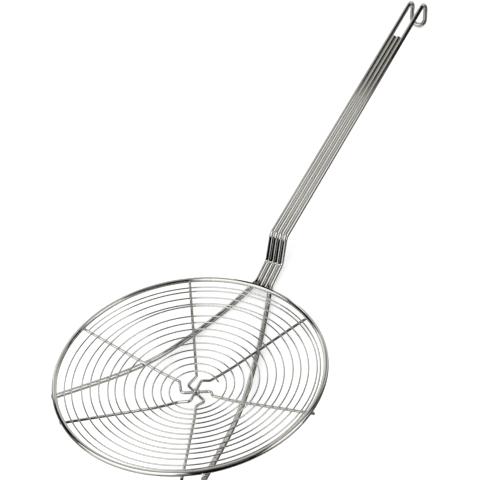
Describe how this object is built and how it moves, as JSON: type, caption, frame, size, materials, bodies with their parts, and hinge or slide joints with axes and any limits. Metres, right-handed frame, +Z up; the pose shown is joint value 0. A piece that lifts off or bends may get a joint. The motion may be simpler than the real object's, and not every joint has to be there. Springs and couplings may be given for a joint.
{
  "type": "spider skimmer",
  "caption": "Wire spider skimmer: a shallow bowl of spiral wire on ribs and a rim, with a long handle of side-by-side wires that ends in a hook.",
  "frame": {"origin": "on the surface it rests on, under the middle of the whole skimmer", "axes": "+Z up as it rests on its two supports and its hook, +Y along the handle away from the bowl"},
  "size_m": [0.2038, 0.5091, 0.064],
  "materials": {
    "rim": "polished plating on steel wire",
    "handle_and_supports": "polished plating on steel wire",
    "ribs": "polished plating on steel wire",
    "spiral": "polished plating on thin steel wire",
    "welds": "plated weld metal, slightly duller than the wires"
  },
  "bodies": {
    "root": {"rim_ring": "rim", "rim_butt_weld": "welds", "spiral_wire": "spiral", "frame_wire": "handle_and_supports", "left_inner_handle_wire": "handle_and_supports", "right_inner_handle_wire": "handle_and_supports", "lower_rib": "ribs", "middle_rib": "ribs", "upper_rib": "ribs", "hub_weld": "welds", "rib_rim_welds": "welds", "support_rim_welds": "welds", "support_rib_welds": "welds", "inner_wire_welds": "welds", "handle_seam_welds": "welds"}
  },
  "joints": []
}
